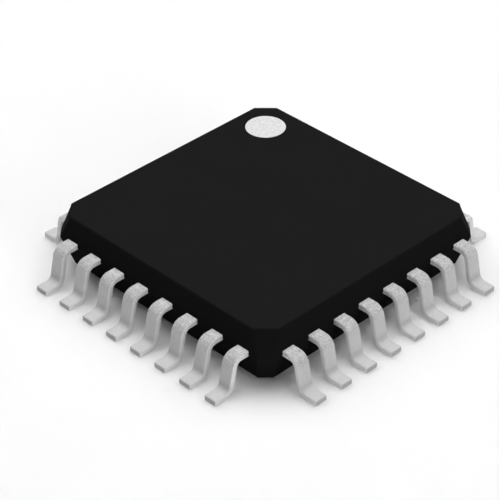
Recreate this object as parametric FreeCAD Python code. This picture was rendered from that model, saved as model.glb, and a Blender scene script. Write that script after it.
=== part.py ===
import FreeCAD, Part
import math
import os

from FreeCAD import Vector

# Quad flat pack chip: 32 gull-wing leads, eight on each side, round a square moulded body.
# Millimetres. +Z is up, the feet stand on Z = 0 and the origin is under the middle of the body.
# Sides are numbered 1 to 4 as -X, -Y, +X and +Y. Pin 1 is at the +Y end of side 1, and the pins
# count on from there, anticlockwise seen from above.

# Leads, outside the moulding
lead_pitch = 0.80
leads_per_side = 8
lead_width = 0.35
lead_thickness = 0.15
lead_projection = 1.00        # side of the body to the tip of the foot
foot_run = 0.47               # tip to the corner of the foot, along the lead's middle line
riser_lean = 12.0             # degrees from upright
shoulder_bend_radius = 0.13   # inside of the bend beside the body
foot_bend_radius = 0.16       # inside of the bend above the foot

# Moulded body
corner_margin = 0.70          # middle of the last lead on a side to the next side
standoff = 0.13               # seating plane to the underside
lower_depth = 0.765           # underside to the parting plane, where the mould halves meet
upper_depth = 0.635           # parting plane to the top face
lower_draft = 17.0            # degrees
upper_draft = 10.0            # degrees
underside_corner_cut = 0.24   # leg of the cut corner, at the underside
parting_corner_cut = 0.27
top_corner_cut = 0.40
rim_radius = 0.05             # round the top face and the underside

# Marks in the moulded body
dot_diameter = 1.00           # pale dot beside pin 1
dot_depth = 0.03
dot_inset = 0.95              # its centre, from both sides
ejector_diameter = 0.90       # dents of the mould's ejector pins, in the underside
ejector_depth = 0.03
ejector_inset = 1.40          # their centres, from both sides

# Silicon and its adhesive
die_size = 3.00
die_thickness = 0.28
attach_thickness = 0.02
attach_margin = 0.06          # adhesive that shows past the silicon, each side

# Die paddle and its four tie bars
paddle_margin = 0.50          # paddle past the silicon, each side
paddle_thickness = 0.15
paddle_downset = 0.20         # below the leads
tie_bar_width = 0.20
tie_bar_level_run = 0.15      # from the paddle's corner to the slope, along the diagonal
tie_bar_slope_run = 0.30
tie_bar_skin = 0.12           # moulding over the end of the tie bar

# Inner ends of the leads, held in the moulding
fan_setback = 0.15            # side of the body to where a lead turns towards its tip
tip_gap = 0.30                # paddle to the tips
tip_width = 0.22
tie_bar_gap = 0.18            # tie bar to the tip of the lead beside it

# Bond wires, with a few flat sides that stand for their round section
wire_diameter = 0.03
wire_flats = 6
ball_diameter = 0.08
ball_height = 0.02
bond_pad_pitch = 0.33
bond_pad_inset = 0.10         # middle of the ball, from the edge of the silicon
wire_rise = 0.13              # ball to the first bend
wire_level_run = 0.45         # first bend to the crown, where the wire starts down
stitch_inset = 0.06           # tip of the lead to the heel of the stitch
stitch_length = 0.08

# Worked out from the sizes above
body_size = (leads_per_side - 1) * lead_pitch + 2 * corner_margin
parting_height = standoff + lower_depth
body_top = parting_height + upper_depth
lead_top = parting_height + lead_thickness / 2
lead_reach = body_size / 2 + lead_projection
paddle_size = die_size + 2 * paddle_margin
paddle_middle = parting_height - paddle_downset
paddle_top = paddle_middle + paddle_thickness / 2
die_underside = paddle_top + attach_thickness
die_top = die_underside + die_thickness
fan_reach = body_size / 2 - fan_setback
tip_reach = paddle_size / 2 + tip_gap
last_place = (leads_per_side - 1) / 2
tip_to_diagonal = tie_bar_width / 2 + tie_bar_gap + tip_width / 2
tip_pitch = (tip_reach - tip_to_diagonal * math.sqrt(2)) / last_place

centre_line = Vector(0, 0, 0)
up = Vector(0, 0, 1)


def turned(shape, degrees):
    """Copy of a shape, turned about the upright line through the middle of the chip."""
    copy = shape.copy()
    copy.rotate(centre_line, up, degrees)
    return copy


def on_side(shape, side):
    """A shape made on the +X side, turned to side 1, 2, 3 or 4."""
    return turned(shape, 90 + 90 * side)


def places():
    """Places along a side, in pitches from its middle."""
    return [count - last_place for count in range(leads_per_side)]


def flat_face(points):
    return Part.Face(Part.makePolygon(points + points[:1]))


def ringed_solid(rings):
    """Solid with flat sides, between rings of points that run anticlockwise seen from its end."""
    faces = [flat_face(rings[0][::-1]), flat_face(rings[-1])]
    count = len(rings[0])
    for near, far in zip(rings, rings[1:]):
        for i in range(count):
            j = (i + 1) % count
            faces.append(flat_face([near[i], near[j], far[j], far[i]]))
    return Part.Solid(Part.Shell(faces))


def cut_square(half, cut, height):
    """Corners of a level square that has its own corners cut off."""
    ring = []
    for turn in range(4):
        c, s = [(1, 0), (0, 1), (-1, 0), (0, -1)][turn]
        for x, y in ((half, half - cut), (half - cut, half)):
            ring.append(Vector(x * c - y * s, x * s + y * c, height))
    return ring


def body_blank():
    """Outside of the moulding: two drafted halves that meet at the parting plane."""
    half = body_size / 2
    low_half = half - lower_depth * math.tan(math.radians(lower_draft))
    top_half = half - upper_depth * math.tan(math.radians(upper_draft))
    blank = ringed_solid([
        cut_square(low_half, underside_corner_cut, standoff),
        cut_square(half, parting_corner_cut, parting_height),
        cut_square(top_half, top_corner_cut, body_top),
    ])
    rims = []
    for edge in blank.Edges:
        box = edge.BoundBox
        if box.ZMin > parting_height + upper_depth / 2 or box.ZMax < parting_height - lower_depth / 2:
            rims.append(edge)
    return blank.makeFillet(rim_radius, rims)


def ejector_dents():
    """Shallow round dents near the corners of the underside."""
    out = body_size / 2 - ejector_inset
    dent = Part.makeCylinder(ejector_diameter / 2, ejector_depth, Vector(out, out, standoff))
    return [turned(dent, 90 * turn) for turn in range(4)]


def pin_1_mark():
    """Disc of pale ink that fills the dimple beside pin 1, level with the top face."""
    out = body_size / 2 - dot_inset
    return Part.makeCylinder(dot_diameter / 2, dot_depth, Vector(-out, out, body_top - dot_depth))


def arc_points(centre, radius, first, last):
    """Start, middle and end of an arc in the XZ plane, by angles from straight up towards +X."""
    points = []
    for angle in (first, (first + last) / 2, last):
        points.append(centre + Vector(math.sin(angle), 0, math.cos(angle)) * radius)
    return points


def gull_wing_face(inner_end):
    """Side view of a lead in the XZ plane: level, down the riser, and level again at the foot."""
    half = lead_thickness / 2
    lean = math.radians(riser_lean)
    bend = math.pi / 2 - lean
    shoulder_middle = shoulder_bend_radius + half
    foot_middle = foot_bend_radius + half
    foot_corner = lead_reach - foot_run
    shoulder_corner = foot_corner - (parting_height - half) * math.tan(lean)
    shoulder_x = shoulder_corner - shoulder_middle * math.tan(bend / 2)
    shoulder = Vector(shoulder_x, 0, parting_height - shoulder_middle)
    foot = Vector(foot_corner + foot_middle * math.tan(bend / 2), 0, half + foot_middle)
    down = math.pi
    stations = [
        [Vector(inner_end, 0, lead_top)],
        arc_points(shoulder, shoulder_middle + half, 0, bend),
        arc_points(foot, foot_middle - half, down + bend, down),
        [Vector(lead_reach, 0, lead_thickness)],
        [Vector(lead_reach, 0, 0)],
        arc_points(foot, foot_middle + half, down, down + bend),
        arc_points(shoulder, shoulder_middle - half, bend, 0),
        [Vector(inner_end, 0, lead_top - lead_thickness)],
    ]
    edges = []
    last = stations[-1][0]
    for station in stations:
        edges.append(Part.LineSegment(last, station[0]).toShape())
        if len(station) == 3:
            edges.append(Part.Arc(*station).toShape())
        last = station[-1]
    return Part.Face(Part.Wire(edges))


def lead_plan(place):
    """Outline of a lead seen from above: straight out of the body, fanned in to its tip."""
    tip = Vector(tip_reach, tip_pitch * place, 0)
    turn = Vector(fan_reach, lead_pitch * place, 0)
    end = Vector(lead_reach + lead_projection, lead_pitch * place, 0)
    along = (turn - tip).normalize()
    half_bend = math.atan2(along.y, along.x) / 2
    across_tip = Vector(-along.y, along.x, 0) * tip_width / 2
    across_turn = Vector(-math.sin(half_bend), math.cos(half_bend), 0) / math.cos(half_bend) * lead_width / 2
    across_end = Vector(0, lead_width / 2, 0)
    return [
        tip - across_tip, turn - across_turn, end - across_end,
        end + across_end, turn + across_turn, tip + across_tip,
    ]


def lead(place):
    """Lead on the +X side: the bent sheet, trimmed to the lead's outline."""
    sheet_half = body_size
    sheet = gull_wing_face(tip_reach - tip_width).extrude(Vector(0, 2 * sheet_half, 0))
    sheet.translate(Vector(0, -sheet_half, 0))
    blank = flat_face(lead_plan(place)).extrude(up * body_top)
    return sheet.common(blank).Solids[0]


def tie_bar():
    """Tie bar along +X: level with the paddle, up a slope, and level with the leads."""
    half = paddle_thickness / 2
    paddle_corner = paddle_size / math.sqrt(2)
    slope_start = paddle_corner + tie_bar_level_run
    slope_end = slope_start + tie_bar_slope_run
    outer = (body_size - parting_corner_cut) / math.sqrt(2) - tie_bar_skin
    bend_shift = half * math.tan(math.atan2(paddle_downset, tie_bar_slope_run) / 2)

    def surface(hand):
        """Upper face of the strip for hand 1, lower face for hand -1."""
        low = paddle_middle + hand * half
        high = parting_height + hand * half
        shift = hand * bend_shift
        return [
            Vector(paddle_corner / 2, 0, low), Vector(slope_start - shift, 0, low),
            Vector(slope_end - shift, 0, high), Vector(outer, 0, high),
        ]

    bar = flat_face(surface(1) + surface(-1)[::-1]).extrude(Vector(0, tie_bar_width, 0))
    bar.translate(Vector(0, -tie_bar_width / 2, 0))
    return bar


def centred_plate(size, thickness, underside):
    return Part.makeBox(size, size, thickness, Vector(-size / 2, -size / 2, underside))


def die_paddle():
    """Sunken plate under the silicon, with a tie bar towards each corner of the moulding."""
    plate = centred_plate(paddle_size, paddle_thickness, paddle_top - paddle_thickness)
    bars = [turned(tie_bar(), 45 + 90 * turn) for turn in range(4)]
    return plate.fuse(bars).removeSplitter().Solids[0]


def bond_wire(place):
    """Gold wire from a ball on the silicon to a stitch on the lead, on the +X side."""
    radius = wire_diameter / 2
    pad = Vector(die_size / 2 - bond_pad_inset, bond_pad_pitch * place, die_top)
    tip = Vector(tip_reach, tip_pitch * place, lead_top + radius)
    turn = Vector(fan_reach, lead_pitch * place, lead_top + radius)
    heel = tip + (turn - tip).normalize() * stitch_inset
    ahead = Vector(heel.x - pad.x, heel.y - pad.y, 0).normalize()
    aside = Vector(-ahead.y, ahead.x, 0)
    ball_top = pad + up * ball_height
    first_bend = ball_top + up * wire_rise
    crown = first_bend + ahead * wire_level_run
    down = (heel - crown).normalize()

    def ring(centre, radius, before, after):
        """Section of the wire, mitred between the run before it and the run after it."""
        both = before.cross(aside) + after.cross(aside)
        facing = both * 2 / both.Length ** 2
        corner = radius / math.cos(math.pi / wire_flats)
        points = []
        for i in range(wire_flats):
            angle = math.pi * ((2 * i + 1) / wire_flats - 0.5)
            points.append(centre + (aside * math.cos(angle) + facing * math.sin(angle)) * corner)
        return points

    return ringed_solid([
        ring(pad, ball_diameter / 2, up, up),
        ring(ball_top, radius, up, up),
        ring(first_bend, radius, up, ahead),
        ring(crown, radius, ahead, down),
        ring(heel, radius, down, ahead),
        ring(heel + ahead * stitch_length, radius, ahead, ahead),
    ])


def build():
    """Every piece of the chip, by name."""
    pieces = {}
    pin = 0
    for side in (1, 2, 3, 4):
        for place in places():
            pin += 1
            pieces[f"lead_{pin:02d}"] = on_side(lead(place), side)
        wires = [on_side(bond_wire(place), side) for place in places()]
        pieces[f"bond_wires_{side}"] = Part.makeCompound(wires)
    pieces["die_paddle"] = die_paddle()
    pieces["die_attach"] = centred_plate(die_size + 2 * attach_margin, attach_thickness, paddle_top)
    pieces["silicon_die"] = centred_plate(die_size, die_thickness, die_underside)
    pieces["pin_1_mark"] = pin_1_mark()

    moulded_in = []
    for shape in pieces.values():
        moulded_in += shape.Solids
    pieces["mould_body"] = body_blank().cut(moulded_in + ejector_dents()).Solids[0]
    return pieces


os.makedirs("parts", exist_ok=True)
for name, shape in build().items():
    shape.exportStep(f"parts/{name}.step")
    print(name, len(shape.Solids), "solids", round(shape.Volume, 5), "mm3", shape.isValid())
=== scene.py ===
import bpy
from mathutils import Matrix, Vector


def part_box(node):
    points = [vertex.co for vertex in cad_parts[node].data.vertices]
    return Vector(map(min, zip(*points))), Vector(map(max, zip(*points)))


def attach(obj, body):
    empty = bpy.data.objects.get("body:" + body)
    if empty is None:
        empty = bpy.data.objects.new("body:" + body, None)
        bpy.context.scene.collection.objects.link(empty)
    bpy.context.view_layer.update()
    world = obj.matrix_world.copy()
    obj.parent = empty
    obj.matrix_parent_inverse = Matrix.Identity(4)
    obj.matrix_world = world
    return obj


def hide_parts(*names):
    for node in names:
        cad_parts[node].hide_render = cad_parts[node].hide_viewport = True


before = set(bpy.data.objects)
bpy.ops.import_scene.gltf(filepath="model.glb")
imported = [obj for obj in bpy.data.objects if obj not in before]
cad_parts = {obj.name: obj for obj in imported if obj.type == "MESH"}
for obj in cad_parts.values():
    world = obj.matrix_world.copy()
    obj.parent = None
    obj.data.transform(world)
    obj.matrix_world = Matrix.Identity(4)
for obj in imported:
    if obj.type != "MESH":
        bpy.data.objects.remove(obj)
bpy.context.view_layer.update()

import math

import bmesh
import bpy
from mathutils import Matrix, Vector

# Quad flat pack chip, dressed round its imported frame. Lengths in the dictionaries are millimetres.
# +Z is up, the feet stand on Z = 0, and the sides are numbered 1 to 4 as -X, -Y, +X and +Y.
mm = 0.001
scene = bpy.context.scene
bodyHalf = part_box("mould_body")[1].x / mm
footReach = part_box("lead_20")[1].x / mm

picture = {
    "azimuth": 45.0,          # degrees round from looking along +Y
    "elevation": 35.42,
    "distance": 49.30,
    "aimHeight": 0.389,
    "lens": 151.69,
    "sensorWidth": 36.0,
    "sideShift": -0.0311,     # the chip stands a little right of the middle
    "clip": (1.0, 2000.0),    # nearest and farthest distance that it sees
}


# Place and facing of something that looks at a point from the given direction
def aimedFrom(azimuth, elevation, distance, aim):
    turn = math.radians(azimuth)
    rise = math.radians(elevation)
    back = Vector((
        math.sin(turn) * math.cos(rise),
        -math.cos(turn) * math.cos(rise),
        math.sin(rise),
    ))
    return aim + back * distance, (-back).to_track_quat("-Z", "Y")


def placeCamera():
    camera = bpy.data.objects.new("camera", bpy.data.cameras.new("camera"))
    scene.collection.objects.link(camera)
    place, facing = aimedFrom(
        picture["azimuth"], picture["elevation"], picture["distance"] * mm,
        Vector((0, 0, picture["aimHeight"] * mm)),
    )
    camera.location = place
    camera.rotation_mode = "QUATERNION"
    camera.rotation_quaternion = facing
    camera.data.sensor_width = picture["sensorWidth"]
    camera.data.lens = picture["lens"]
    camera.data.shift_x = picture["sideShift"]
    camera.data.clip_start = picture["clip"][0] * mm
    camera.data.clip_end = picture["clip"][1] * mm
    camera.data.dof.use_dof = False
    scene.camera = camera
    scene.view_settings.view_transform = "Standard"
    scene.view_settings.look = "None"


placeCamera()
print("camera placed")


# Shader maths: Signal wraps an output socket, and Recipe wires up one material
class Signal:
    def __init__(self, recipe, socket):
        self.recipe = recipe
        self.socket = socket

    def maths(self, operation, first, second):
        return self.recipe.maths(operation, first, second)

    def __add__(self, other):
        return self.maths("ADD", self, other)

    def __radd__(self, other):
        return self.maths("ADD", other, self)

    def __sub__(self, other):
        return self.maths("SUBTRACT", self, other)

    def __rsub__(self, other):
        return self.maths("SUBTRACT", other, self)

    def __mul__(self, other):
        return self.maths("MULTIPLY", self, other)

    def __rmul__(self, other):
        return self.maths("MULTIPLY", other, self)

    def __truediv__(self, other):
        return self.maths("DIVIDE", self, other)

    def __rtruediv__(self, other):
        return self.maths("DIVIDE", other, self)

    def __pow__(self, other):
        return self.maths("POWER", self, other)

    def __rpow__(self, other):
        return self.maths("POWER", other, self)

    def __abs__(self):
        return self.maths("ABSOLUTE", self, 0.0)

    # a mask turned into a factor: 1 where it is 0, and the given value where it is 1
    def factor(self, full):
        return 1 - (1 - full) * self

    # noise turned into a swing about nought
    def swing(self, amount):
        return amount * (self - 0.5)


class Recipe:
    def __init__(self, name):
        self.material = bpy.data.materials.new(name)
        self.material.use_nodes = True
        self.tree = self.material.node_tree
        self.tree.nodes.clear()
        place = self.node("ShaderNodeTexCoord", output="Object")
        # the object's own coordinates, in millimetres
        self.place = self.node(
            "ShaderNodeVectorMath", {"operation": "SCALE"}, {"Vector": place, "Scale": 1 / mm}
        )

    # settings go on first, then sockets, by name or number, take a value or a Signal
    def node(self, kind, settings=None, sockets=None, output=0):
        made = self.tree.nodes.new(kind)
        for key, value in (settings or {}).items():
            setattr(made, key, value)
        for key, value in (sockets or {}).items():
            if isinstance(value, Signal):
                self.tree.links.new(value.socket, made.inputs[key])
            else:
                made.inputs[key].default_value = value
        return Signal(self, made.outputs[output]) if made.outputs else None

    def axis(self, name):
        return self.node("ShaderNodeSeparateXYZ", None, {0: self.place}, name)

    def maths(self, operation, first, second=0.0):
        return self.node("ShaderNodeMath", {"operation": operation}, {0: first, 1: second})

    # noise between 0 and 1, with spots of about the given size
    def noise(self, spot, detail=2.0, roughness=0.5, place=None):
        return self.node("ShaderNodeTexNoise", None, {
            "Vector": place or self.place, "Scale": 1 / spot, "Detail": detail, "Roughness": roughness,
        }, "Fac")

    # noise drawn out along the axes whose factor is small
    def streaks(self, spot, factors):
        place = self.node("ShaderNodeVectorMath", {"operation": "MULTIPLY"}, {0: self.place, 1: factors})
        return self.noise(spot, 2.0, 0.6, place)

    # waves from -1 to 1, one to each pitch
    def waves(self, away, pitch):
        return self.maths("SINE", away * (2 * math.pi / pitch))

    # 0 up to the first value, 1 from the second on, smooth between; the first may be the greater
    def rise(self, value, first, second):
        return self.node("ShaderNodeMapRange", {"interpolation_type": "SMOOTHSTEP"}, {
            "Value": value, "From Min": first, "From Max": second,
        })

    # sockets of a colour mix: 0 is the share of the second colour, 6 and 7 are the colours
    def blend(self, share, first, second):
        sockets = {0: share}
        for key, colour in ((6, first), (7, second)):
            sockets[key] = colour if isinstance(colour, Signal) else (*colour, 1)
        return self.node("ShaderNodeMix", {"data_type": "RGBA"}, sockets, 2)

    def brighten(self, colour, value):
        return self.node("ShaderNodeHueSaturation", None, {"Value": value, "Color": colour})

    def bump(self, height, depth, under=None):
        sockets = {"Height": height, "Distance": depth * mm, "Strength": 1.0}
        if under:
            sockets["Normal"] = under
        return self.node("ShaderNodeBump", None, sockets)

    def finish(self, settings=None, **sockets):
        named = {key.replace("_", " "): value for key, value in sockets.items()}
        surface = self.node("ShaderNodeBsdfPrincipled", settings, named)
        self.node("ShaderNodeOutputMaterial", None, {"Surface": surface})
        return self.material


studio = {
    "backdropTone": 0.95,     # seen behind the floor, and lights nothing
    "lampDistance": 250.0,
    "lamps": {                # azimuth and elevation it shines from, radius, radiance
        "overheadLight": (0, 90, 70.0, 6.0),
        "farLeftLight": (270, 55, 110.0, 2.2),
        "farRightLight": (180, 55, 110.0, 1.85),
        "frontLight": (84, 15, 70.0, 2.7),
        "rightLight": (90, 30, 70.0, 1.0),
    },
    "floorSize": 400.0,       # ends before the lamps fall short of it
    "floorColour": (0.94, 0.94, 0.94),
    "floorRoughness": 0.9,
    "floorDepth": 1.1,        # how far light spreads inside the white board, which softens the shadows
    "toothSpot": 0.2,
    "toothDepth": 0.0005,
}


def hangBackdrop():
    world = bpy.data.worlds.new("studioBackdrop")
    world.use_nodes = True
    backdrop = world.node_tree.nodes["Background"]
    backdrop.inputs["Color"].default_value = (1, 1, 1, 1)
    backdrop.inputs["Strength"].default_value = studio["backdropTone"]
    world.cycles_visibility.diffuse = False
    world.cycles_visibility.glossy = False
    scene.world = world


def hangLamps():
    for name, (azimuth, elevation, radius, radiance) in studio["lamps"].items():
        light = bpy.data.lights.new(name, "AREA")
        light.shape = "DISK"
        light.size = 2 * radius * mm
        light.energy = radiance * (math.pi * radius * mm) ** 2  # watts: radiance times pi times area
        lamp = bpy.data.objects.new(name, light)
        place, facing = aimedFrom(azimuth, elevation, studio["lampDistance"] * mm, Vector())
        lamp.location = place
        lamp.rotation_mode = "QUATERNION"
        lamp.rotation_quaternion = facing
        scene.collection.objects.link(lamp)


def layFloor():
    half = studio["floorSize"] * mm / 2
    corners = [(-half, -half, 0), (half, -half, 0), (half, half, 0), (-half, half, 0)]
    mesh = bpy.data.meshes.new("floor")
    mesh.from_pydata(corners, [], [(0, 1, 2, 3)])
    floor = bpy.data.objects.new("floor", mesh)
    scene.collection.objects.link(floor)
    board = Recipe("whiteBoard")
    mesh.materials.append(board.finish(
        {"subsurface_method": "BURLEY"},
        Base_Color=(*studio["floorColour"], 1),
        Roughness=studio["floorRoughness"],
        Specular_IOR_Level=0.0,
        Subsurface_Weight=1.0,
        Subsurface_Radius=(1.0, 1.0, 1.0),  # the same for red, green and blue
        Subsurface_Scale=studio["floorDepth"] * mm,
        Normal=board.bump(board.noise(studio["toothSpot"]), studio["toothDepth"]),
    ))


hangBackdrop()
hangLamps()
layFloor()
print("studio lit")


# What the moulding seals in: none of it shows, and it keeps the frame's own meshes
paddle = {
    "copper": (0.80, 0.47, 0.33),
    "tarnished": (0.58, 0.30, 0.20),
    "metallic": 0.9,
    "roughness": 0.30,
    "stainSpot": 0.6,
    "stainLevels": (0.42, 0.64),
    "stainShare": 0.7,
    "stainRoughness": 0.18,
    "rollingSpot": 0.03,
    "rollingStretch": 0.1,    # streaks run along X
    "rollingShare": 0.2,
    "rollingRoughness": 0.10,
    "rollingDepth": 0.0006,
}

adhesive = {
    "paste": (0.36, 0.36, 0.35),
    "silverFlake": (0.78, 0.78, 0.76),
    "flakeSpot": 0.02,
    "flakeLevels": (0.45, 0.20),    # distance from a flake's middle, in spots
    "flakeMetallic": 0.5,
    "flakeDepth": 0.0010,
    "roughness": 0.62,
    "flakePolish": 0.25,
}

silicon = {
    "ground": (0.085, 0.095, 0.12),
    "etched": (0.16, 0.15, 0.19),
    "metallic": 0.6,
    "roughness": 0.16,
    "grindPitch": 0.012,      # arcs that the wafer grinder leaves
    "grindCentre": 40.0,
    "grindShare": 0.10,
    "grindDepth": 0.0002,
    "circuitPitch": 0.34,     # rectangular circuit blocks under the passivation
    "circuitOffset": 0.35,
    "circuitSquash": 0.6,
    "circuitShare": 0.55,
    "circuitRoughness": 0.10,
    "laneWidth": 0.02,
    "laneTone": 0.2,
}

wires = {
    "gold": (0.94, 0.68, 0.26),
    "goldShade": (0.80, 0.52, 0.17),
    "cloudSpot": 0.08,
    "cloudLevels": (0.35, 0.65),
    "roughness": 0.20,
    "drawnSpot": 0.012,
    "drawnRoughness": 0.14,
    "drawnDepth": 0.0003,
}


def bareCopper():
    r = Recipe("bareCopperFrame")
    f = paddle
    rolled = r.streaks(f["rollingSpot"], (f["rollingStretch"], 1.0, 1.0))
    stain = r.rise(r.noise(f["stainSpot"], 3.0, 0.6), *f["stainLevels"])
    share = stain * f["stainShare"] + rolled * f["rollingShare"]
    return r.finish(
        Base_Color=r.blend(share, f["copper"], f["tarnished"]),
        Metallic=f["metallic"],
        Roughness=f["roughness"] + f["stainRoughness"] * stain + rolled.swing(f["rollingRoughness"]),
        Normal=r.bump(rolled, f["rollingDepth"]),
    )


def silverPaste():
    r = Recipe("silverFilledPaste")
    f = adhesive
    sockets = {"Vector": r.place, "Scale": 1 / f["flakeSpot"]}
    flakes = r.node("ShaderNodeTexVoronoi", None, sockets, "Distance")
    bright = r.rise(flakes, *f["flakeLevels"])
    return r.finish(
        Base_Color=r.blend(bright, f["paste"], f["silverFlake"]),
        Metallic=f["flakeMetallic"] * bright,
        Roughness=f["roughness"] - f["flakePolish"] * bright,
        Normal=r.bump(bright, f["flakeDepth"]),
    )


def groundSilicon():
    r = Recipe("groundSilicon")
    f = silicon
    across = r.axis("X") + f["grindCentre"]
    ahead = r.axis("Y") + f["grindCentre"]
    away = (across * across + ahead * ahead) ** 0.5
    arcs = r.waves(away, f["grindPitch"]) * 0.5 + 0.5
    lane = f["laneTone"]
    blocks = r.node("ShaderNodeTexBrick", {"offset": f["circuitOffset"], "squash": f["circuitSquash"]}, {
        "Vector": r.place, "Scale": 1 / f["circuitPitch"], "Mortar Size": f["laneWidth"],
        "Color1": (0, 0, 0, 1), "Color2": (1, 1, 1, 1), "Mortar": (lane, lane, lane, 1),
    }, "Color")
    share = blocks * f["circuitShare"] + arcs * f["grindShare"]
    return r.finish(
        Base_Color=r.blend(share, f["ground"], f["etched"]),
        Metallic=f["metallic"],
        Roughness=f["roughness"] + f["circuitRoughness"] * blocks,
        Normal=r.bump(arcs, f["grindDepth"]),
    )


def drawnGold():
    r = Recipe("drawnGoldWire")
    f = wires
    cloud = r.rise(r.noise(f["cloudSpot"], 2.0), *f["cloudLevels"])
    drawn = r.noise(f["drawnSpot"], 2.0, 0.6)
    return r.finish(
        Base_Color=r.blend(cloud, f["gold"], f["goldShade"]),
        Metallic=1.0,
        Roughness=f["roughness"] + f["drawnRoughness"] * drawn,
        Normal=r.bump(drawn, f["drawnDepth"]),
    )


def dressInside():
    gold = drawnGold()
    dressed = {"die_paddle": bareCopper(), "die_attach": silverPaste(), "silicon_die": groundSilicon()}
    dressed.update({f"bond_wires_{side}": gold for side in (1, 2, 3, 4)})
    for name, material in dressed.items():
        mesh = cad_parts[name].data
        mesh.materials.clear()
        mesh.materials.append(material)


dressInside()
print("inside dressed")


def asPiece(name, bm, material, node):
    mesh = bpy.data.meshes.new(name)
    bm.to_mesh(mesh)
    bm.free()
    for face in mesh.polygons:
        face.use_smooth = True
    mesh.materials.append(material)
    piece = bpy.data.objects.new(name, mesh)
    scene.collection.objects.link(piece)
    even = piece.modifiers.new("evenNormals", "WEIGHTED_NORMAL")  # keeps the flats flat beside rounded edges
    even.weight = 100
    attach(piece, "root")
    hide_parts(node)


# Skin between rings with equal numbers of points, each a list of bmesh vertices
def skin(bm, rings):
    for near, far in zip(rings, rings[1:]):
        for i in range(len(near)):
            j = (i + 1) % len(near)
            bm.faces.new((near[i], near[j], far[j], far[i]))


def ringEdges(bm, ring):
    pairs = [(ring[i - 1], ring[i]) for i in range(len(ring))]
    return [bm.edges.get(pair) or bm.edges.new(pair) for pair in pairs]


body = {
    "partingHeight": 0.895,
    "lowerDraft": 17.0,
    "upperDraft": 10.0,
    "cornerCuts": (0.24, 0.27, 0.40),   # at the underside, the parting plane and the top
    "cornerRadius": 0.045,
    "cornerLeast": 0.004,
    "cornerSteps": 4,
    "rimRadius": 0.05,
    "rimSteps": 6,
    "rimMargin": 0.04,                  # narrow strips on both sides of the rounded rim
    "partingRidge": 0.005,              # fine line where the mould halves meet
    "ridgeRings": ((0, -2.4), (0, -1.4), (1, -0.5), (1, 0.5), (0, 1.4), (0, 2.4)),  # out and up, in ridges
    "dimpleDiameter": 1.00,             # holds the ink of the pin 1 dot
    "dimpleDepth": 0.03,
    "dimpleInset": 0.95,
    "dentDiameter": 0.90,               # left by the mould's ejector pins
    "dentDepth": 0.03,
    "dentInset": 1.40,
    "recessEdge": 0.006,
    "recessSteps": 3,
    "circlePoints": 72,
    "black": (0.0080, 0.0080, 0.0081),
    "greyed": (0.0092, 0.0092, 0.0093),
    "cloudSpot": 1.3,
    "cloudRoughness": 0.14,
    "filler": (0.020, 0.020, 0.021),    # round filler grains near the surface
    "fillerSpot": 0.016,
    "fillerLevels": (0.66, 0.74),
    "fillerShare": 0.25,
    "paintedFaceLight": 1.42,                   # painted light: the level top and underside are made greyer than the drafted sides
    "faceFade": (0.012, 0.004),         # how far below a face that starts, and is full
    "shine": 0.008,                     # specular level
    "roughness": 0.85,
    "erosionSpot": 0.022,               # grain that the spark-eroded mould leaves
    "erosionRoughness": 0.10,
    "erosionDepth": 0.0012,
    "dentHeight": 0.17,                 # below it, and within its radius, is the bottom of an ejector dent
    "dentFade": (0.03, 0.01),           # sideways and upwards
    "dentPolish": 0.12,
    "turningPitch": 0.018,              # rings on the ends of the ejector pins
    "turningDepth": 0.0010,
}


def mouldCompound():
    r = Recipe("blackMouldCompound")
    f = body
    cloud = r.noise(f["cloudSpot"], 3.0)
    fillers = r.rise(r.noise(f["fillerSpot"], 0.0), *f["fillerLevels"])
    tone = r.blend(fillers * f["fillerShare"], r.blend(cloud, f["black"], f["greyed"]), f["filler"])
    grain = r.noise(f["erosionSpot"], 2.0, 0.6)
    low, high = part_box("mould_body")
    middle = (low.z + high.z) / 2 / mm
    halfHeight = (high.z - low.z) / 2 / mm
    starts, full = f["faceFade"]
    # the level top and underside, which get the painted light
    onFace = r.rise(abs(r.axis("Z") - middle), halfHeight - starts, halfHeight - full)
    # turned rings on the floor of each ejector dent
    out = bodyHalf - f["dentInset"]
    aside = abs(abs(r.axis("X")) - out)
    ahead = abs(abs(r.axis("Y")) - out)
    away = (aside * aside + ahead * ahead) ** 0.5
    radius = f["dentDiameter"] / 2
    sideways, upwards = f["dentFade"]
    inDent = r.rise(away, radius, radius - sideways)
    inDent = inDent * r.rise(r.axis("Z"), f["dentHeight"], f["dentHeight"] - upwards)
    rings = r.waves(away, f["turningPitch"])
    roughness = f["roughness"] + cloud.swing(f["cloudRoughness"]) + grain.swing(f["erosionRoughness"])
    return r.finish(
        Base_Color=r.brighten(tone, onFace.factor(f["paintedFaceLight"])),
        Roughness=roughness - f["dentPolish"] * inDent,
        Specular_IOR_Level=f["shine"],
        Normal=r.bump(rings * inDent, f["turningDepth"], r.bump(grain, f["erosionDepth"])),
    )


# Level square with cut and slightly rounded corners
def cutSquare(bm, half, cut, radius, height):
    ring = []
    tangent = radius * math.tan(math.radians(22.5))
    for c, s in ((1, 0), (0, 1), (-1, 0), (0, -1)):
        for corner, before in ((Vector((half, half - cut)), 0.0), (Vector((half - cut, half)), 45.0)):
            start = math.radians(before)
            alongIn = Vector((-math.sin(start), math.cos(start)))
            centre = corner - alongIn * tangent - Vector((math.cos(start), math.sin(start))) * radius
            for step in range(body["cornerSteps"] + 1):
                angle = start + math.radians(45) * step / body["cornerSteps"]
                x = centre.x + radius * math.cos(angle)
                y = centre.y + radius * math.sin(angle)
                ring.append(bm.verts.new(Vector((x * c - y * s, x * s + y * c, height)) * mm))
    return ring


def circle(bm, centre, radius, height):
    ring = []
    for i in range(body["circlePoints"]):
        angle = 2 * math.pi * i / body["circlePoints"]
        ring.append(bm.verts.new(Vector((
            centre[0] + radius * math.cos(angle), centre[1] + radius * math.sin(angle), height,
        )) * mm))
    return ring


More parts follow.
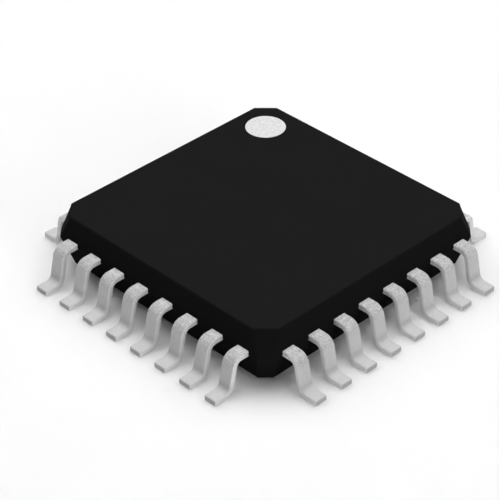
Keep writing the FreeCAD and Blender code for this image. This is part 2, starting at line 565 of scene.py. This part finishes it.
# Shallow round recess with softened edges, sunk from a level face; returns its outermost ring.
# Level margins, 4 edges wide outside and 5 inside, keep the flats beside the curves flat.
def recess(bm, centre, radius, face, depth, sign):
    edge = body["recessEdge"]
    angles = [math.radians(90 * step / body["recessSteps"]) for step in range(body["recessSteps"] + 1)]
    profile = [(radius + 4 * edge, 0)]
    for angle in angles:
        profile.append((radius + edge * (1 - math.sin(angle)), edge * (1 - math.cos(angle))))
    for angle in angles:
        profile.append((radius - edge * (1 - math.cos(angle)), depth - edge * (1 - math.sin(angle))))
    profile.append((radius - 5 * edge, depth))
    rings = [circle(bm, centre, out, face - sign * down) for out, down in profile]
    ordered = [ring[::-sign] for ring in rings]
    skin(bm, ordered)
    bm.faces.new(ordered[-1][::-1])
    return rings[0]


def mouldedBody():
    b = body
    low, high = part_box("mould_body")
    underside = low.z / mm
    top = high.z / mm
    parting = b["partingHeight"]
    bm = bmesh.new()
    rings = []

    def addRing(edgeHalf, edgeCut, out, height):
        cut = edgeCut + out * (2 - math.sqrt(2))
        radius = max(b["cornerRadius"] + min(out, 0), b["cornerLeast"])
        rings.append(cutSquare(bm, edgeHalf + out, cut, radius, height))

    # rounded rim of a face, from the face outwards where hand is 1 and back inwards where it is -1
    def rim(edgeHalf, edgeCut, face, draft, hand):
        radius = b["rimRadius"]
        turn = math.radians(90 - draft)
        pull = radius * math.tan(turn / 2)
        places = [(-pull - b["rimMargin"], 0)]
        for step in range(b["rimSteps"] + 1):
            angle = turn * step / b["rimSteps"]
            places.append((radius * math.sin(angle) - pull, radius * (1 - math.cos(angle))))
        up = radius * (1 - math.cos(turn)) + b["rimMargin"]
        places.append((up * math.tan(math.radians(draft)), up))
        for out, inward in places[::hand]:
            addRing(edgeHalf, edgeCut, out, face + hand * inward)

    lowHalf = bodyHalf - (parting - underside) * math.tan(math.radians(b["lowerDraft"]))
    topHalf = bodyHalf - (top - parting) * math.tan(math.radians(b["upperDraft"]))
    rim(lowHalf, b["cornerCuts"][0], underside, b["lowerDraft"], 1)
    ridge = b["partingRidge"]
    for out, up in b["ridgeRings"]:
        lean = b["lowerDraft"] if up < 0 else b["upperDraft"]
        inward = abs(up) * ridge * math.tan(math.radians(lean))
        addRing(bodyHalf, b["cornerCuts"][1], out * ridge - inward, parting + up * ridge)
    rim(topHalf, b["cornerCuts"][2], top, b["upperDraft"], -1)
    skin(bm, rings)

    out = bodyHalf - b["dimpleInset"]
    dimple = recess(bm, (-out, out), b["dimpleDiameter"] / 2, top, b["dimpleDepth"], 1)
    out = bodyHalf - b["dentInset"]
    dents = []
    for x, y in ((out, out), (-out, out), (-out, -out), (out, -out)):
        dents.append(recess(bm, (x, y), b["dentDiameter"] / 2, underside, b["dentDepth"], -1))
    for outer, holes in ((rings[-1], [dimple]), (rings[0], dents)):
        edges = ringEdges(bm, outer)
        for hole in holes:
            edges += ringEdges(bm, hole)
        bmesh.ops.triangle_fill(bm, use_beauty=True, use_dissolve=False, edges=edges)
    bmesh.ops.recalc_face_normals(bm, faces=bm.faces)
    asPiece("mouldedBody", bm, mouldCompound(), "mould_body")


mouldedBody()
print("body moulded")


dot = {
    "edge": 0.008,
    "edgeSteps": 3,
    "flatShare": 0.9,         # an inner ring at this share of the radius keeps the face flat
    "thin": (0.64, 0.64, 0.64),
    "thick": (0.82, 0.82, 0.82),
    "coverLevels": (0.35, 0.65),
    "cloudSpot": 0.09,
    "grainSpot": 0.03,
    "grainRoughness": 0.1,
    "grainDepth": 0.0012,
    "roughness": 0.55,
    "shine": 0.3,
}


def markingInk():
    r = Recipe("paleMarkingInk")
    f = dot
    cloud = r.noise(f["cloudSpot"], 3.0, 0.6)
    grain = r.noise(f["grainSpot"], 2.0, 0.6)
    cover = r.rise(cloud * 0.5 + grain * 0.5, *f["coverLevels"])
    return r.finish(
        Base_Color=r.blend(cover, f["thin"], f["thick"]),
        Roughness=f["roughness"] + grain.swing(f["grainRoughness"]),
        Specular_IOR_Level=f["shine"],
        Normal=r.bump(grain, f["grainDepth"]),
    )


def pinOneDot():
    low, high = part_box("pin_1_mark")
    centre = ((low.x + high.x) / 2 / mm, (low.y + high.y) / 2 / mm)
    radius = (high.x - low.x) / 2 / mm
    bottom = low.z / mm
    top = high.z / mm
    edge = dot["edge"]
    bm = bmesh.new()
    profile = [(radius, bottom), (radius, top - edge)]
    for step in range(1, dot["edgeSteps"] + 1):
        angle = math.radians(90 * step / dot["edgeSteps"])
        profile.append((radius - edge * (1 - math.cos(angle)), top - edge * (1 - math.sin(angle))))
    profile.append((radius * dot["flatShare"], top))
    rings = [circle(bm, centre, out, height) for out, height in profile]
    skin(bm, rings)
    bm.faces.new(rings[0][::-1])
    bm.faces.new(rings[-1])
    asPiece("pinOneDot", bm, markingInk(), "pin_1_mark")


pinOneDot()
print("pin 1 dot inked")


lead = {
    "pitch": 0.80,
    "perSide": 8,
    "width": 0.35,
    "thickness": 0.15,
    "footRun": 0.47,
    "riserLean": 12.0,
    "shoulderRadius": 0.13,         # inside of the bend beside the body
    "footRadius": 0.16,             # inside of the bend above the foot
    "bendSteps": 16,
    "edgeRadius": 0.034,            # worn round by tumbling and plating
    "edgeLeast": 0.001,
    "edgeSteps": 4,
    "fanSetback": 0.15,             # body side to where the lead turns towards its tip
    "tipReach": 2.30,
    "tipPitch": 0.4996,
    "tipWidth": 0.22,
    "light": (0.70, 0.70, 0.70),
    "dull": (0.64, 0.64, 0.64),
    "paintedSideLight": (0.84, 0.84, 0.84),  # painted light: the sides are made lighter, standing in for the light they catch
    "sideFade": (0.0204, 0.004),    # how far in from a side that starts, and is full
    "paintedEndShade": (0.45, 0.44, 0.43),   # painted shade: the end face of the foot is made darker
    "endFade": (0.010, 0.003),
    "copper": (0.71, 0.38, 0.24),   # inside the moulding, where nothing is plated
    "copperFade": (0.01, 0.03),
    "formedShade": 0.90,            # painted shade on the lead beyond the shoulder top, its sides left out
    "formedStart": (0.13, 0.22),    # how far out from the body that starts, and is full
    "bendShade": 0.88,              # painted shade over the shoulder bend
    "bendHeights": (0.72, 0.88),
    "heelShade": 0.85,              # painted shade in the inner bend above the foot
    "heelTop": (0.40, 0.22),
    "heelBottom": (0.26, 0.155),
    "metallic": 0.12,
    "roughness": 0.70,
    "cloudSpot": 0.22,
    "cloudRoughness": 0.16,
    "crystalSpot": 0.034,
    "crystalShare": 0.65,
    "crystalLevels": (0.38, 0.62),
    "crystalRoughness": 0.10,
    "speckle": 1.3,                 # how strongly the crystals show where the plating is stretched
    "peelDepth": 0.0028,            # orange peel, full where the plating is stretched
    "peelShares": (0.15, 0.6),      # everywhere, and what the stretched bend adds
    "scoreSpot": 0.010,             # fine upright scores on the sheared sides
    "scoreStretch": 0.12,
    "scoreDepth": 0.0007,
}


def tinPlate():
    r = Recipe("matteTinPlate")
    f = lead
    x = r.axis("X")
    y = r.axis("Y")
    z = r.axis("Z")
    # how far out a point lies, and how far across its lead; 40 pitches keep the fraction's input above 0
    out = r.maths("MAXIMUM", abs(x), abs(y))
    along = x + (y - x) * r.maths("GREATER_THAN", abs(x), abs(y))
    across = abs(r.maths("FRACT", along / f["pitch"] + 40.0) - 0.5) * f["pitch"]
    half = f["width"] / 2

    crystals = r.noise(f["crystalSpot"], 2.0, 0.65)
    cloud = r.noise(f["cloudSpot"], 2.0)
    mottle = crystals * f["crystalShare"] + cloud * (1 - f["crystalShare"])
    rolled = r.blend(r.rise(mottle, *f["crystalLevels"]), f["dull"], f["light"])
    atSide = r.rise(across, *[half - inset for inset in f["sideFade"]])
    atEnd = r.rise(out, *[footReach - inset for inset in f["endFade"]])
    unplated = r.rise(out, *[bodyHalf - inset for inset in f["copperFade"]])
    # where the painted shade of the bent lead falls
    formed = r.rise(out, *[bodyHalf + start for start in f["formedStart"]]) * (1 - atSide)
    # the shoulder bend: painted shade there, and the plating's speckle and orange peel
    stretchedAndShadedBend = r.rise(z, *f["bendHeights"])
    # painted shade in the inner bend above the foot and on the foot's sides, not the foot's flat top
    atHeel = r.rise(z, *f["heelTop"]) * (1 - r.rise(z, *f["heelBottom"]) * (1 - atSide))

    # brightness factor: the painted shades, then the crystals' speckle
    value = formed.factor(f["formedShade"])
    value = value * (formed * stretchedAndShadedBend).factor(f["bendShade"])
    value = value * atHeel.factor(f["heelShade"])
    value = value * (1 + f["speckle"] * stretchedAndShadedBend * (crystals - 0.5))
    # the sides get the painted light, and all of it is dimmed by the painted shade
    plated = r.brighten(r.blend(atSide, rolled, f["paintedSideLight"]), value)
    everywhere, added = f["peelShares"]
    peel = r.bump(crystals * (everywhere + stretchedAndShadedBend * added), f["peelDepth"])
    scores = r.streaks(f["scoreSpot"], (1.0, 1.0, f["scoreStretch"])) * r.maths("MAXIMUM", atSide, atEnd)
    return r.finish(
        # the foot's end face gets the painted shade
        Base_Color=r.blend(unplated, r.blend(atEnd, plated, f["paintedEndShade"]), f["copper"]),
        Metallic=f["metallic"],
        Roughness=f["roughness"] + cloud.swing(f["cloudRoughness"]) + crystals.swing(f["crystalRoughness"]),
        Normal=r.bump(scores, f["scoreDepth"], peel),
    )


# Middle line of a lead on the +X side, as (place, way across, way up, half width) stations
def leadStations(place):
    level = body["partingHeight"]
    half = lead["thickness"] / 2
    y = lead["pitch"] * place
    tip = Vector((lead["tipReach"], lead["tipPitch"] * place, level))
    turn = Vector((bodyHalf - lead["fanSetback"], y, level))
    inward = (turn - tip).normalized()
    acrossTip = Vector((-inward.y, inward.x, 0))
    mitre = (acrossTip + Vector((0, 1, 0))).normalized()
    up = Vector((0, 0, 1))
    across = Vector((0, 1, 0))
    stations = [
        (tip, acrossTip, up, lead["tipWidth"] / 2),
        (turn, mitre, up, lead["width"] / 2 / mitre.y),
    ]
    lean = math.radians(lead["riserLean"])
    bend = math.pi / 2 - lean
    shoulder = lead["shoulderRadius"] + half
    foot = lead["footRadius"] + half
    footCorner = footReach - lead["footRun"]
    shoulderCorner = footCorner - (level - half) * math.tan(lean)
    bends = (
        (Vector((shoulderCorner - shoulder * math.tan(bend / 2), y, level - shoulder)), shoulder, 1),
        (Vector((footCorner + foot * math.tan(bend / 2), y, half + foot)), foot, -1),
    )
    for centre, radius, hand in bends:
        for step in range(lead["bendSteps"] + 1):
            share = step / lead["bendSteps"] if hand == 1 else 1 - step / lead["bendSteps"]
            angle = bend * share
            out = Vector((math.sin(angle), 0, math.cos(angle)))
            stations.append((centre + out * radius * hand, across, out, lead["width"] / 2))
    stations.append((Vector((footReach, y, half)), across, up, lead["width"] / 2))
    return stations


def gullWing(number, place, turn, material):
    stations = leadStations(place)
    radius = lead["edgeRadius"]
    steps = lead["edgeSteps"]
    half = lead["thickness"] / 2
    bm = bmesh.new()

    # the strip's section, pulled in all round by inset
    def section(centre, across, up, halfWidth, inset):
        ring = []
        corner = max(radius - inset, lead["edgeLeast"])
        wide = halfWidth - inset - corner
        high = half - inset - corner
        for quarter, (sideHand, upHand) in enumerate(((1, 1), (-1, 1), (-1, -1), (1, -1))):
            for step in range(steps + 1):
                angle = math.pi / 2 * (quarter + step / steps)
                sideways = sideHand * wide + corner * math.cos(angle)
                upward = upHand * high + corner * math.sin(angle)
                ring.append(bm.verts.new((turn @ (centre + across * sideways + up * upward)) * mm))
        return ring

    # one rounded end, from the section that is still full to the flat of the cut
    def roundedEnd(centre, across, up, halfWidth, hand):
        ahead = across.cross(up)
        rounded = []
        for step in range(steps + 1):
            angle = math.pi / 2 * step / steps
            along = radius * (1 - math.sin(angle))
            inset = radius * (1 - math.cos(angle))
            rounded.append(section(centre + ahead * along * hand, across, up, halfWidth, inset))
        return rounded

    rings = roundedEnd(*stations[0], 1)[::-1]
    rings += [section(*station, 0) for station in stations[1:-1]]
    rings += roundedEnd(*stations[-1], -1)
    skin(bm, rings)
    bm.faces.new(rings[0][::-1])
    bm.faces.new(rings[-1])
    bmesh.ops.recalc_face_normals(bm, faces=bm.faces)
    asPiece(f"gullWingLead{number:02d}", bm, material, f"lead_{number:02d}")


pin = 0
matteTin = tinPlate()
for side in (1, 2, 3, 4):
    turn = Matrix.Rotation(math.radians(90 + 90 * side), 3, "Z")
    for count in range(lead["perSide"]):
        pin += 1
        gullWing(pin, count - (lead["perSide"] - 1) / 2, turn, matteTin)
print(pin, "leads formed")
